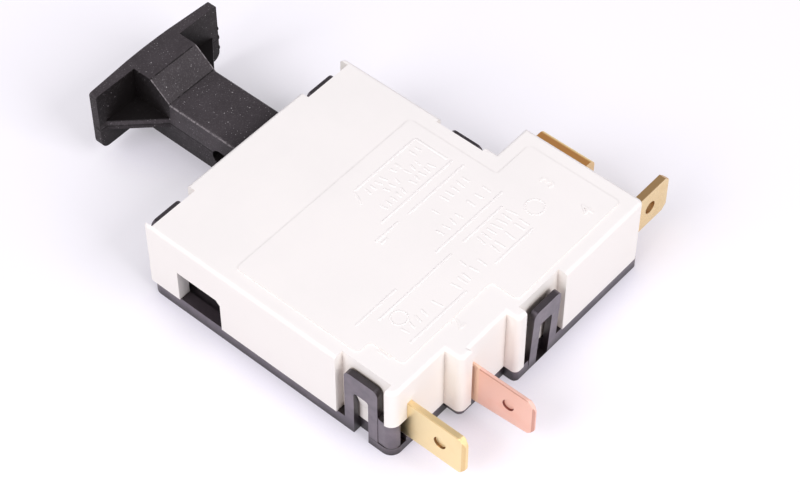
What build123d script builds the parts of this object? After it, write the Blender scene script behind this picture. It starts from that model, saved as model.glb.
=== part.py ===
from build123d import *
import math
import os

os.makedirs("parts", exist_ok=True)

# Push-on, push-off mains switch with two poles. +X runs from the button to the terminals,
# +Z is up, the origin is on the underside, below the push rod's axis, midway along the housing.

# Housing plan, measured from the button wall and from the near wall
body_length = 35.05
body_width = 29.3
rod_inset = 17.55  # near wall to the rod's axis
block_length = 14.75  # side block, measured from the rear wall
block_reach = 4.6  # how far the side block stands out
bay_inset = 3.1  # rear wall to the wall behind the first tab
bay_width = 7.4
column_inset = 1.05  # rear wall to the rounded column between the first two tabs
column_width = 1.6
shelf_inset = 1.5  # rear wall to the wall behind the second tab
shelf_width = 14.5

# Housing heights and walls
flange_height = 1.65
cover_height = 8.6
wall = 1.4
ceiling = 1.2
floor_drop = 0.45  # inside floor below the flange's top
flange_inset = 0.15
top_round = 0.4
corner_round = 1.2
post_round = 1.1
edge_round = 0.6
panel_height = 0.1
panel_margin = 1.75
panel_start = 10.8
panel_rear_margin = 1.65
panel_corner = 1.0
panel_far_margin = 2.2
panel_near_step = 5.75
panel_sink = 0.2

# Loop latches that hold the cover down
loop_thickness = 0.7
loop_width = 4.1
loop_leg = 1.15
loop_top = 8.85
loop_bar = 2.5
loop_corner = 0.7
loop_window_corner = 0.35
loop_lean = 2.5  # degrees, where the cover's catch springs a loop outward
foot_round = 0.4
recess_depth = 1.05
recess_side = 0.95
catch_height = 2.6
catch_reach = 0.7
catch_gap = 0.1
latch_near_inset = 4.05  # from the wall behind the first tab
latch_rear_inset = 4.2  # from the second tab's shelf
latch_front_inset = 3.3  # near wall to the first latch beside the rod
latch_front_offset = 0.6  # second latch, from the middle between rod and far wall
latch_far_inset = 4.3  # from the side block
latch_far_stand = 0.4  # the far loop stands out from its wall

# Notch in the near wall and black corner under the cover's corner post
notch_start = 4.25
notch_width = 5.7
notch_height = 4.2
notch_chamfer = 0.5
corner_height = 4.85
corner_length = 2.9
corner_width = 2.1
corner_step = 0.05
corner_band = 1.05
upstand_gap = 0.75  # open behind the corner's upstand

# Push rod
stem_width = 6.68
stem_height = 5.7
stem_low = 2.15
stem_inside = 4.5  # how far the rod reaches into the housing
rod_reach = 16.7  # button wall to the middle of the head's face
head_width = 17.56
head_height = 7.75
head_thickness = 1.0
head_bow = 0.42
head_kink_width = 6.0
head_kink_set = 0.06
head_round = 1.0
head_top_round = 0.3
neck_length = 2.3
neck_slope = 2.5
web_reach = 4.7
web_width = 4.55
web_low = 4.5
web_thickness = 1.25
side_slot_reach = 4.6
side_slot_low = 3.55
side_slot_height = 2.1
side_slot_depth = 1.0
snap_place = 3.0
snap_length = 1.2
snap_depth = 0.45
bevel = 0.2
travel = 4.0

# Slider, heart track and latch pin
run_gap = 0.1
slider_overlap = 2.45  # slider behind the cages' seats
track_half_width = 0.45
track_depth = 0.9
track_inset = 1.0  # from the bottom of the spring's bore
track_swing = 1.9
lock_return = 1.0
pin_radius = 0.3
pin_bend = 0.6
pin_lift = 0.25
pin_tail = 2.2
pin_sides = 8
post_length = 2.5
post_width = 5.2
post_web = 1.1
post_tail = 2.9
post_top = 8.0
pivot_inset = 1.3
rail_width = 0.95
rail_height = 4.8
rail_gap = 1.3

# Return spring
spring_radius = 1.82
spring_wire = 0.27
spring_turns = 5
bore_depth = 2.9
spring_level = 5.0
spring_gap = 0.25
nub_gap = 0.25
nub_length = 1.2

# Contacts
plate_gap = 0.225  # wall to the back of a contact plate
contact_level = 4.9
near_outer_offset = 2.95  # first tab to its contact
near_inner_offset = 2.45  # second tab to its contact
far_inner = 5.7  # rod's axis to the fourth terminal's contact
far_outer_gap = 1.2  # side block's wall to the third terminal's plate
fixed_contact_radius = 1.3
fixed_contact_height = 0.6
moving_contact_radius = 1.15
moving_contact_height = 0.7
contact_bevel = 0.2
rivet_radius = 0.6
rivet_gap = 0.02
open_margin = 0.15
bridge_thickness = 0.6
bridge_height = 3.0
bridge_end = 1.45
bridge_corner = 0.6
bridge_nub = 0.5

# Cage that carries each bridge
cage_width = 2.2
cage_wall = 0.75
cage_gap = 0.25
cage_lip = 0.7
lip_gap = 0.05
contact_spring_radius = 0.85
contact_spring_wire = 0.16
contact_spring_turns = 3
contact_spring_length = 2.9
wire_sides = 4  # both springs are wound from square wire
cage_nub_radius = 0.5
cage_nub_length = 0.7

# Terminals
tab_thickness = 0.8
tab_width = 6.3
tab_low = 1.4
tab_chamfer = 1.0
tab_hole_radius = 0.7
tab_bevel = 0.2
tab_1_place = 2.3
tab_1_reach = 4.05  # reach and hole are from the rear wall
tab_1_hole = 0.75
tab_2_place = 9.4
tab_2_reach = 6.35
tab_2_hole = 2.95
tab_3_inset = 0.7  # from the side block's front wall
tab_3_top = 8.75
tab_3_reach = 2.3
tab_3_end = 0.9
tab_bend = 0.2
tab_3_hole_level = 3.6
tab_4_width = 4.8
tab_4_low = 2.15
tab_4_inset = 1.6
tab_4_reach = 6.9
tab_4_hole = 3.8
tab_4_hole_radius = 0.75
tab_4_chamfer = 0.8
plate_edge = 1.45
plate_offset = 2.4  # second bend of the fourth terminal, from its contact
slot_gap = 0.1
seat_gap = 0.05
seat_rib = 0.9
seat_half = 1.1
seat_height = 1.3

# Levels and planes that follow from the sizes
front_x = -body_length / 2
rear_x = body_length / 2
near_y = -rod_inset
far_y = near_y + body_width
block_x = rear_x - block_length
block_y = far_y + block_reach
bay_x = rear_x - bay_inset
bay_y = near_y + bay_width
column_x = rear_x - column_inset
column_y = bay_y + column_width
shelf_x = rear_x - shelf_inset
shelf_y = near_y + shelf_width
top_z = flange_height + cover_height
ceiling_z = top_z - panel_height - ceiling
floor_z = flange_height - floor_drop
stem_top = stem_low + stem_height
half_stem = stem_width / 2
head_x = front_x - rod_reach
pin_level = stem_top + pin_lift + pin_radius
post_face = rear_x - wall - plate_gap - post_length
pivot_x = post_face + pivot_inset
contact_plane = bay_x - wall - plate_gap - tab_thickness
contact_front = contact_plane - fixed_contact_height - travel - open_margin
bridge_front = contact_front - moving_contact_height
bridge_rear = bridge_front - bridge_thickness
cage_seat = bridge_rear - contact_spring_length
cage_rear = cage_seat - cage_wall
slider_rear = cage_seat + slider_overlap
spring_seat = slider_rear - bore_depth
rod_gap_y = half_stem + run_gap

plan = [
    (front_x, near_y),
    (bay_x, near_y),
    (bay_x, bay_y),
    (column_x, bay_y),
    (column_x, column_y),
    (shelf_x, column_y),
    (shelf_x, shelf_y),
    (rear_x, shelf_y),
    (rear_x, block_y),
    (block_x, block_y),
    (block_x, far_y),
    (front_x, far_y),
]

# Each latch: its place on the wall's outer plane, the way the wall faces, and the loop's lean
near_latch = (bay_x - latch_near_inset, near_y, -90, 0)
rear_latch = (rear_x, shelf_y + latch_rear_inset, 0, loop_lean)
front_near_latch = (front_x, near_y + latch_front_inset, 180, loop_lean)
front_far_y = (rod_gap_y + far_y) / 2 + latch_front_offset
front_far_latch = (front_x, front_far_y, 180, loop_lean)
far_latch = (block_x - latch_far_inset, far_y + latch_far_stand, 90, loop_lean)
latches = [near_latch, rear_latch, front_near_latch, front_far_latch, far_latch]


def wall_plane(latch, depth, lean=0):
    # A plane at a latch, sunk into the wall by depth: X along the wall, Y up, and leaning outward
    x, y, turn = latch[:3]
    outward = Vector(math.cos(math.radians(turn)), math.sin(math.radians(turn)), 0)
    along = Vector(-outward.Y, outward.X, 0)
    normal = outward - Vector(0, 0, math.tan(math.radians(lean)))
    return Plane(origin=Vector(x, y, 0) - outward * depth, x_dir=along, z_dir=normal)


def housing_plan(inset):
    # The housing's plan, moved in by inset
    with BuildSketch(mode=Mode.PRIVATE) as outline:
        with BuildLine():
            Polyline(*plan, close=True)
        make_face()
        if inset:
            offset(amount=-inset, kind=Kind.INTERSECTION)
    return outline.sketch


def corners_near(points, found, reach=0.6):
    # Those of the found vertices that lie at the given points of their sketch
    return [v for v in found if min(abs(v.X - x) + abs(v.Y - y) for x, y in points) < reach]


def block(x_pair, y_pair, z_pair, mode=Mode.ADD):
    # A plain block between two values on each axis
    with Locations((sum(x_pair) / 2, sum(y_pair) / 2, sum(z_pair) / 2)):
        Box(x_pair[1] - x_pair[0], y_pair[1] - y_pair[0], z_pair[1] - z_pair[0], mode=mode)


# Places that follow for the terminals and their contact plates
tab_1_y = near_y + tab_1_place
tab_2_y = near_y + tab_2_place
tab_3_x = block_x + tab_3_inset
tab_4_x = rear_x - tab_4_inset - tab_thickness
near_outer = tab_1_y + near_outer_offset
near_inner = tab_2_y + near_inner_offset
near_cage = (near_inner + near_outer) / 2
far_cage = far_y - wall - cage_gap - cage_width / 2
far_outer = block_y - wall - far_outer_gap - plate_edge
run_y = far_inner - plate_offset
plate_rear = contact_plane + tab_thickness
plate_1 = (tab_1_y, near_outer + plate_edge)
plate_2 = (tab_2_y, near_inner + plate_edge)
plate_3 = (far_outer - plate_edge, far_outer + plate_edge)
plate_4 = (run_y, far_inner + plate_edge)

# Black base: flange, corner, latch loops, deck, rails, spring post and terminal seats
corner_x = bay_x - corner_length
corner_y = near_y + corner_width
upstand_inset = flange_inset + corner_step
seat_top = floor_z + seat_height
with BuildPart() as base:
    with BuildSketch(Plane.XY):
        add(housing_plan(flange_inset))
        fillet(corners_near([(front_x, near_y), (bay_x, near_y)], vertices()), radius=corner_round)
        fillet(corners_near([(column_x, bay_y), (rear_x, shelf_y)], vertices()), radius=edge_round)
    extrude(amount=flange_height)
    with BuildSketch(Plane.XY.offset(floor_z)):
        add(housing_plan(wall))
    extrude(amount=floor_drop, mode=Mode.SUBTRACT)
    # Corner under the cover's post: a low band with a set-back upstand
    block((corner_x, bay_x), (near_y, corner_y), (corner_band, flange_height), Mode.SUBTRACT)
    with BuildSketch(Plane.XY.offset(corner_band)):
        upstand_x = bay_x - upstand_inset
        upstand_y = near_y + upstand_inset
        upstand_end = corner_y - upstand_gap
        with Locations(((corner_x + upstand_x) / 2, (upstand_y + upstand_end) / 2)):
            Rectangle(upstand_x - corner_x, upstand_end - upstand_y)
        fillet(vertices().group_by(Axis.Y)[0].sort_by(Axis.X)[-1], radius=corner_round - upstand_inset)
    extrude(amount=corner_height - corner_band)
    # Undercut below the cover's column
    block((bay_x - flange_inset, rear_x), (bay_y - wall, column_y), (0, corner_band), Mode.SUBTRACT)
    # Latch loops, each open down through the flange
    for latch in latches:
        loop_face = wall_plane(latch, flange_inset, latch[3])
        with BuildSketch(loop_face):
            with Locations((0, loop_top / 2)):
                Rectangle(loop_width, loop_top)
            fillet(vertices().group_by(Axis.Y)[-1], radius=loop_corner)
        extrude(amount=-loop_thickness)
        with BuildSketch(loop_face):
            with Locations((0, (loop_top - loop_bar) / 2)):
                Rectangle(loop_width - 2 * loop_leg, loop_top - loop_bar)
            fillet(vertices().group_by(Axis.Y)[-1], radius=loop_window_corner)
        extrude(amount=flange_inset - recess_depth, mode=Mode.SUBTRACT)
    # Curved inside corner between the near loop and the upstand
    with BuildSketch(wall_plane(near_latch, upstand_inset)):
        foot_x = loop_width / 2
        with Locations((foot_x + foot_round / 2, corner_height + foot_round / 2)):
            Rectangle(foot_round, foot_round)
        with Locations((foot_x + foot_round, corner_height + foot_round)):
            Circle(foot_round, mode=Mode.SUBTRACT)
    extrude(amount=-loop_thickness)
    # Deck and rails that carry the rod and slider
    deck_top = stem_low - seat_gap
    block((front_x + flange_inset, post_face), (-half_stem, half_stem), (floor_z, deck_top))
    for side in (-1, 1):
        rail_y = sorted((side * rod_gap_y, side * (rod_gap_y + rail_width)))
        block((front_x + wall + run_gap, cage_rear - rail_gap), rail_y, (floor_z, floor_z + rail_height))
    # Post behind the return spring, with its nub and the latch pin's pivot hole
    block((post_face, post_face + post_web), (-post_width / 2, post_width / 2), (floor_z, post_top))
    block((post_face, post_face + post_length), (-post_tail / 2, post_tail / 2), (floor_z, post_top))
    with BuildSketch(Plane.YZ.offset(post_face)):
        with Locations((0, spring_level)):
            Circle(spring_radius - spring_wire - nub_gap)
    extrude(amount=-nub_length)
    with Locations((pivot_x, 0, post_top)):
        Cylinder(pin_radius + seat_gap, 2 * pin_tail, mode=Mode.SUBTRACT)
    # Ribs along the foot of each terminal's contact plate
    rib_x = contact_plane - seat_gap
    for contact_y in (near_outer, near_inner, far_inner, far_outer):
        block((rib_x - seat_rib, rib_x), (contact_y - seat_half, contact_y + seat_half), (floor_z, seat_top))
    # Bridge under the fourth terminal's long run, and slots for the blades in the flange
    block((tab_4_x, tab_4_x + tab_thickness), plate_3, (floor_z, tab_4_low))
    for blade_y in (tab_1_y, tab_2_y):
        slot_y = (blade_y - slot_gap, blade_y + tab_thickness + slot_gap)
        block((plate_rear, rear_x), slot_y, (tab_low, flange_height), Mode.SUBTRACT)
base.part.label = "base"
export_step(base.part, "parts/base.step")

# White cover: shell with recesses, rod opening, notch, tab slots, panel and latch catches
catch_top = loop_top - loop_bar - catch_gap
post_y = corner_y + slot_gap
strip_y = block_y - wall
with BuildPart() as cover:
    with BuildSketch(Plane.XY.offset(flange_height)):
        add(housing_plan(0))
        fillet(corners_near([(bay_x, near_y)], vertices()), radius=post_round)
        fillet(corners_near([(column_x, bay_y)], vertices()), radius=column_width / 2)
        fillet(corners_near([(rear_x, shelf_y), (front_x, near_y)], vertices()), radius=edge_round)
        fillet(corners_near([(front_x, far_y), (rear_x, block_y)], vertices()), radius=edge_round)
    extrude(amount=cover_height - panel_height)
    fillet(faces().sort_by(Axis.Z)[-1].edges(), radius=top_round)
    # Recesses for the loops, up through the top edge
    for x, y, turn, _ in latches:
        with Locations(Location((x, y, top_z), (0, 0, turn))):
            Box(2 * recess_depth, loop_width + 2 * recess_side, 3 * cover_height, mode=Mode.SUBTRACT)
    with BuildSketch(Plane.XY.offset(flange_height)):
        add(housing_plan(wall))
    extrude(amount=ceiling_z - flange_height, mode=Mode.SUBTRACT)
    # Raised panel on top, stepping out over the side block
    with BuildSketch(Plane.XY.offset(top_z - panel_height - panel_sink)):
        with BuildLine():
            Polyline(
                (front_x + panel_start, near_y + panel_margin),
                (bay_x - panel_near_step, near_y + panel_margin),
                (bay_x - panel_near_step, near_y + 2 * panel_margin),
                (bay_x - panel_margin, near_y + 2 * panel_margin),
                (bay_x - panel_margin, shelf_y + panel_margin),
                (rear_x - panel_rear_margin, shelf_y + panel_margin),
                (rear_x - panel_rear_margin, block_y - panel_margin),
                (block_x + panel_margin, block_y - panel_margin),
                (block_x + panel_margin, far_y - panel_far_margin),
                (front_x + panel_start, far_y - panel_far_margin),
                close=True,
            )
        make_face()
        fillet(vertices(), radius=panel_corner / 2)
    extrude(amount=panel_height + panel_sink)
    # Openings for the rod, the notch and the black corner
    rod_gap_z = (flange_height, stem_top + run_gap)
    block((front_x - wall, front_x + 2 * wall), (-rod_gap_y, rod_gap_y), rod_gap_z, Mode.SUBTRACT)
    with BuildSketch(Plane.XZ.offset(-near_y - 1.5 * wall)):
        with Locations((front_x + notch_start + notch_width / 2, flange_height + notch_height / 2)):
            Rectangle(notch_width, notch_height)
        chamfer(vertices().group_by(Axis.Y)[-1].sort_by(Axis.X)[-1], length=notch_chamfer)
    extrude(amount=3 * wall, mode=Mode.SUBTRACT)
    post_z = (0, corner_height)
    block((corner_x - slot_gap, rear_x), (near_y - wall, post_y), post_z, Mode.SUBTRACT)
    # Slots for the blades, open downward so that the cover drops over them
    for blade_y in (tab_1_y, tab_2_y):
        slot_y = (blade_y - slot_gap, blade_y + tab_thickness + slot_gap)
        slot_z = (0, tab_low + tab_width + slot_gap)
        block((plate_rear, rear_x + wall), slot_y, slot_z, Mode.SUBTRACT)
    slot_x = (tab_3_x - slot_gap, tab_3_x + tab_width + slot_gap)
    block(slot_x, (strip_y - slot_gap, block_y + wall), (0, tab_3_top + slot_gap), Mode.SUBTRACT)
    slot_x = (tab_4_x - slot_gap, tab_4_x + tab_thickness + slot_gap)
    slot_z = (0, tab_4_low + tab_4_width + slot_gap)
    block(slot_x, (strip_y - slot_gap, block_y + wall), slot_z, Mode.SUBTRACT)
    # Sloped catches that hook under each loop's bar
    for latch in latches:
        wall_face = wall_plane(latch, recess_depth)
        side_face = Plane(origin=wall_face.origin, x_dir=wall_face.z_dir, z_dir=wall_face.x_dir)
        with BuildSketch(side_face):
            with BuildLine():
                Polyline(
                    (-catch_gap, -catch_top),
                    (catch_reach, -catch_top),
                    (0, catch_height - catch_top),
                    (-catch_gap, catch_height - catch_top),
                    close=True,
                )
            make_face()
        extrude(amount=loop_width / 2 - loop_leg - catch_gap, both=True)
cover.part.label = "cover"
export_step(cover.part, "parts/cover.step")

# Push rod: bowed head, sloped neck, stem with side slots, and a web under each wing of the head
stem_end = front_x + stem_inside
head_edge_x = head_x + head_bow
head_inner_x = head_edge_x + head_thickness
head_top = stem_low + head_height
neck_x = head_inner_x + neck_length
slot_end = front_x - side_slot_reach
snap_x = stem_end - snap_place
with BuildPart() as push_rod:
    with BuildSketch(Plane.XY.offset(stem_low)):
        with BuildLine():
            kink_x = head_x + head_kink_set
            near_line = Line((head_edge_x, -head_width / 2), (kink_x, -head_kink_width / 2))
            far_line = Line((kink_x, head_kink_width / 2), (head_edge_x, head_width / 2))
            ThreePointArc(near_line @ 1, (head_x, 0), far_line @ 0)
            inner_far = (head_inner_x, head_width / 2)
            inner_near = (head_inner_x, -head_width / 2)
            Polyline(far_line @ 1, inner_far, inner_near, near_line @ 0)
        make_face()
    extrude(amount=head_height)
    lower_edges = edges().filter_by(Axis.X).group_by(Axis.Z)[0]
    fillet(lower_edges, radius=head_round)
    upper_edges = edges().filter_by(Axis.X).group_by(Axis.Z)[-1]
    fillet(upper_edges, radius=head_top_round)
    # Neck and stem, as a side profile across the rod's width
    with BuildSketch(Plane.XZ):
        with BuildLine():
            Polyline(
                (head_inner_x - head_thickness / 2, stem_low),
                (stem_end, stem_low),
                (stem_end, stem_top),
                (neck_x + neck_slope, stem_top),
                (neck_x, head_top),
                (head_inner_x - head_thickness / 2, head_top),
                close=True,
            )
        make_face()
    extrude(amount=half_stem, both=True)
    long_edges = [e for e in edges().filter_by(Axis.X) if e.length > side_slot_reach + stem_inside]
    chamfer(long_edges, length=bevel)
    # Webs from the stem to the wings of the head
    with BuildSketch(Plane.XY.offset(web_low)):
        for side in (-1, 1):
            with BuildLine():
                Polyline(
                    (head_inner_x - head_thickness / 2, side * (half_stem - bevel)),
                    (head_inner_x - head_thickness / 2, side * (half_stem + web_width)),
                    (head_inner_x, side * (half_stem + web_width)),
                    (head_inner_x + web_reach, side * half_stem),
                    (head_inner_x + web_reach, side * (half_stem - bevel)),
                    close=True,
                )
            make_face()
    extrude(amount=web_thickness)
    # Side slots with a round outer end, and a deeper pocket for the slider's snap
    slot_mid = side_slot_low + side_slot_height / 2
    for side in (-1, 1):
        side_face = Plane(origin=(0, side * half_stem, 0), x_dir=(1, 0, 0), z_dir=(0, side, 0))
        with BuildSketch(side_face):
            with Locations(((slot_end + side_slot_height / 2 + stem_end) / 2, -side * slot_mid)):
                Rectangle(stem_end - slot_end - side_slot_height / 2, side_slot_height)
            with Locations((slot_end + side_slot_height / 2, -side * slot_mid)):
                Circle(side_slot_height / 2)
        extrude(amount=-side_slot_depth, mode=Mode.SUBTRACT)
        pocket_y = sorted((side * half_stem, side * (half_stem - side_slot_depth - snap_depth - run_gap)))
        pocket_x = (snap_x - snap_length - run_gap, snap_x + run_gap)
        block(pocket_x, pocket_y, (side_slot_low, side_slot_low + side_slot_height), Mode.SUBTRACT)
push_rod.part.label = "push_rod"
export_step(push_rod.part, "parts/push_rod.step")

# Slider: block behind the rod with snap prongs, heart track, spring bore and a cage on each side
slider_front = stem_end + run_gap
cage_front = bridge_front + lip_gap + cage_lip
cage_inside = bridge_height / 2 + cage_gap
cage_half = cage_inside + cage_wall
cage_mouth = 2 * moving_contact_radius + 2 * run_gap
track_start = spring_seat - track_inset
track_points = [
    (track_start, 0),
    (track_start - travel, -track_swing),
    (track_start - travel + lock_return, 0),
    (track_start - travel, track_swing),
]
with BuildPart() as slider:
    block((slider_front, slider_rear), (-half_stem, half_stem), (stem_low, stem_top))
    cage_z = (contact_level - cage_half, contact_level + cage_half)
    block((cage_rear, cage_seat), (near_cage, far_cage), cage_z)
    for side, cage_y in ((-1, near_cage), (1, far_cage)):
        cage_span = (cage_y - cage_width / 2, cage_y + cage_width / 2)
        block((cage_rear, cage_front), cage_span, cage_z)
        opening_z = (contact_level - cage_inside, contact_level + cage_inside)
        block((cage_seat, bridge_front + lip_gap), cage_span, opening_z, Mode.SUBTRACT)
        mouth_z = (contact_level - cage_mouth / 2, contact_level + cage_mouth / 2)
        block((bridge_rear, cage_front), cage_span, mouth_z, Mode.SUBTRACT)
        with BuildSketch(Plane.YZ.offset(cage_seat)):
            with Locations((cage_y, contact_level)):
                Circle(cage_nub_radius)
        extrude(amount=cage_nub_length)
        # Prong in the rod's side slot, with its snap
        prong_z = (side_slot_low + run_gap, side_slot_low + side_slot_height - run_gap)
        prong_y = sorted((side * half_stem, side * (half_stem - side_slot_depth + run_gap)))
        block((snap_x - snap_length, slider_front), prong_y, prong_z)
        snap_y = sorted((side * half_stem, side * (half_stem - side_slot_depth - snap_depth)))
        block((snap_x - snap_length, snap_x), snap_y, prong_z)
    # Bore for the return spring
    with BuildSketch(Plane.YZ.offset(slider_rear)):
        with Locations((0, spring_level)):
            Circle(spring_radius + spring_wire + spring_gap)
    extrude(amount=spring_seat - slider_rear, mode=Mode.SUBTRACT)
    # Heart track on top: four straight lanes round an island
    with BuildSketch(Plane.XY.offset(stem_top)):
        for index, (x, y) in enumerate(track_points):
            next_x, next_y = track_points[(index + 1) % 4]
            lane = math.hypot(next_x - x, next_y - y)
            turn = math.degrees(math.atan2(next_y - y, next_x - x))
            with Locations(Location(((x + next_x) / 2, (y + next_y) / 2, 0), (0, 0, turn))):
                SlotCenterToCenter(lane, 2 * track_half_width)
    extrude(amount=-track_depth, mode=Mode.SUBTRACT)
slider.part.label = "slider"
export_step(slider.part, "parts/slider.step")

# Latch pin: one wire bent down at both ends, from the pivot in the post to the heart track
with BuildPart() as latch_pin:
    with BuildLine() as pin_path:
        FilletPolyline(
            (pivot_x, 0, pin_level - pin_tail),
            (pivot_x, 0, pin_level),
            (track_start, 0, pin_level),
            (track_start, 0, stem_top - track_depth + run_gap),
            radius=pin_bend,
        )
    with BuildSketch(Plane(origin=pin_path.line @ 0, z_dir=pin_path.line % 0)):
        RegularPolygon(pin_radius, pin_sides)
    sweep()
latch_pin.part.label = "latch_pin"
export_step(latch_pin.part, "parts/latch_pin.step")


def coil_spring(start, end, radius, wire, turns):
    # A coil of square wire between two points on a line along +X, its wire just inside both ends
    length = end[0] - start[0] - 2 * wire
    with BuildPart(mode=Mode.PRIVATE) as coil:
        with BuildLine() as path:
            coil_start = (start[0] + wire, start[1], start[2])
            Helix(length / turns, length, radius, center=coil_start, direction=(1, 0, 0))
        with BuildSketch(Plane(origin=path.line @ 0, z_dir=path.line % 0)):
            RegularPolygon(wire, wire_sides)
        sweep(is_frenet=True)
    return coil.part


# Return spring between the slider's bore and the post
with BuildPart() as return_spring:
    spring_start = (spring_seat + seat_gap, 0, spring_level)
    spring_end = (post_face - seat_gap, 0, spring_level)
    add(coil_spring(spring_start, spring_end, spring_radius, spring_wire, spring_turns))
return_spring.part.label = "return_spring"
export_step(return_spring.part, "parts/return_spring.step")


# First and second terminals: blades that turn inside the wall to face the bridge
for number, place_y, reach, hole, contact_edge in (
    (1, tab_1_y, tab_1_reach, tab_1_hole, plate_1[1]),
    (2, tab_2_y, tab_2_reach, tab_2_hole, plate_2[1]),
):
    tip_x = rear_x + reach
    with BuildPart() as terminal:
        with BuildSketch(Plane.XY.offset(tab_low)):
            with BuildLine():
                Polyline(
                    (tip_x, place_y),
                    (contact_plane, place_y),
                    (contact_plane, contact_edge),
                    (plate_rear, contact_edge),
                    (plate_rear, place_y + tab_thickness),
                    (tip_x, place_y + tab_thickness),
                    close=True,
                )
            make_face()
            fillet(corners_near([(contact_plane, place_y)], vertices()), radius=tab_bend + tab_thickness)
            fillet(corners_near([(plate_rear, place_y + tab_thickness)], vertices()), radius=tab_bend)
            chamfer(vertices().group_by(Axis.X)[-1], length=tab_bevel)
        extrude(amount=tab_width)
        chamfer(edges().filter_by(Axis.Y).group_by(Axis.X)[-1], length=tab_chamfer)
        with BuildSketch(Plane.XZ.offset(-place_y)):
            with Locations((rear_x + hole, tab_low + tab_width / 2)):
                Circle(tab_hole_radius)
        extrude(amount=-tab_thickness, mode=Mode.SUBTRACT)
        with BuildSketch(Plane.YZ.offset(contact_plane)):
            with Locations((contact_edge - plate_edge, contact_level)):
                Circle(rivet_radius)
        extrude(amount=tab_thickness, mode=Mode.SUBTRACT)
    terminal.part.label = f"terminal_{number}"
    export_step(terminal.part, f"parts/terminal_{number}.step")

# Third terminal: a wide strip out under the ceiling and down outside, with its contact plate inside
strip_low = tab_3_top - tab_thickness
strip_end_y = block_y + tab_3_reach
strip_start_x = block_x + wall + run_gap
with BuildPart() as terminal_3:
    with BuildSketch(Plane.YZ.offset(tab_3_x)):
        with BuildLine():
            Polyline(
                (plate_3[0], tab_3_top),
                (strip_end_y, tab_3_top),
                (strip_end_y, tab_3_end),
                (strip_end_y - tab_thickness, tab_3_end),
                (strip_end_y - tab_thickness, strip_low),
                (plate_3[0], strip_low),
                close=True,
            )
        make_face()
        fillet(corners_near([(strip_end_y, tab_3_top)], vertices()), radius=tab_bend + tab_thickness)
        fillet(corners_near([(strip_end_y - tab_thickness, strip_low)], vertices()), radius=tab_bend)
    extrude(amount=tab_width)
    chamfer(edges().filter_by(Axis.Y).group_by(Axis.Z)[0], length=tab_chamfer)
    with BuildSketch(Plane.XZ.offset(-strip_end_y)):
        with Locations((tab_3_x + tab_width / 2, tab_3_hole_level)):
            Circle(tab_hole_radius)
    extrude(amount=tab_thickness, mode=Mode.SUBTRACT)
    # Narrower inside the block, then out to the contact plate and down
    strip_z = (strip_low, tab_3_top)
    block((tab_3_x, strip_start_x), (plate_3[0], strip_y), strip_z, Mode.SUBTRACT)
    with BuildSketch(Plane.XZ.offset(-plate_3[1])):
        with BuildLine():
            Polyline(
                (strip_start_x, tab_3_top),
                (plate_rear, tab_3_top),
                (plate_rear, tab_low),
                (contact_plane, tab_low),
                (contact_plane, strip_low),
                (strip_start_x, strip_low),
                close=True,
            )
        make_face()
        fillet(corners_near([(plate_rear, tab_3_top)], vertices()), radius=tab_bend + tab_thickness)
        fillet(corners_near([(contact_plane, strip_low)], vertices()), radius=tab_bend)
    extrude(amount=plate_3[1] - plate_3[0])
    with BuildSketch(Plane.YZ.offset(contact_plane)):
        with Locations((far_outer, contact_level)):
            Circle(rivet_radius)
    extrude(amount=tab_thickness, mode=Mode.SUBTRACT)
terminal_3.part.label = "terminal_3"
export_step(terminal_3.part, "parts/terminal_3.step")

# Fourth terminal: a narrower blade out of the far wall, doubled back inside to its contact plate
tab_4_tip = block_y + tab_4_reach
tab_4_face = tab_4_x + tab_thickness
run_inner_y = run_y + tab_thickness
with BuildPart() as terminal_4:
    with BuildSketch(Plane.XY.offset(tab_4_low)):
        with BuildLine():
            Polyline(
                (tab_4_face, tab_4_tip),
                (tab_4_face, run_y),
                (contact_plane, run_y),
                (contact_plane, plate_4[1]),
                (plate_rear, plate_4[1]),
                (plate_rear, run_inner_y),
                (tab_4_x, run_inner_y),
                (tab_4_x, tab_4_tip),
                close=True,
            )
        make_face()
        outer_bends = [(tab_4_face, run_y), (contact_plane, run_y)]
        fillet(corners_near(outer_bends, vertices()), radius=tab_bend + tab_thickness)
        fillet(corners_near([(tab_4_x, run_inner_y), (plate_rear, run_inner_y)], vertices()), radius=tab_bend)
        chamfer(vertices().group_by(Axis.Y)[-1], length=tab_bevel)
    extrude(amount=tab_4_width)
    chamfer(edges().filter_by(Axis.X).group_by(Axis.Y)[-1], length=tab_4_chamfer)
    with BuildSketch(Plane.YZ.offset(tab_4_x)):
        with Locations((block_y + tab_4_hole, tab_4_low + tab_4_width / 2)):
            Circle(tab_4_hole_radius)
    extrude(amount=tab_thickness, mode=Mode.SUBTRACT)
    with BuildSketch(Plane.YZ.offset(contact_plane)):
        with Locations((far_inner, contact_level)):
            Circle(rivet_radius)
    extrude(amount=tab_thickness, mode=Mode.SUBTRACT)
terminal_4.part.label = "terminal_4"
export_step(terminal_4.part, "parts/terminal_4.step")


# Fixed contacts: bevelled rivets through the four plates, their heads toward the button
shank_radius = rivet_radius - rivet_gap
fixed_places = (near_outer, near_inner, far_outer, far_inner)
for number, place_y in enumerate(fixed_places, start=1):
    centre = (contact_plane, place_y, contact_level)
    with BuildPart() as fixed_contact:
        with BuildSketch(Plane(origin=centre, x_dir=(-1, 0, 0), z_dir=(0, 1, 0))):
            with BuildLine():
                Polyline(
                    (fixed_contact_height, 0),
                    (-tab_thickness, 0),
                    (-tab_thickness, shank_radius),
                    (0, shank_radius),
                    (0, fixed_contact_radius),
                    (fixed_contact_height - contact_bevel, fixed_contact_radius),
                    (fixed_contact_height, fixed_contact_radius - 2 * contact_bevel),
                    close=True,
                )
            make_face()
        revolve(axis=Axis(centre, (1, 0, 0)))
    fixed_contact.part.label = f"fixed_contact_{number}"
    export_step(fixed_contact.part, f"parts/fixed_contact_{number}.step")

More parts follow.
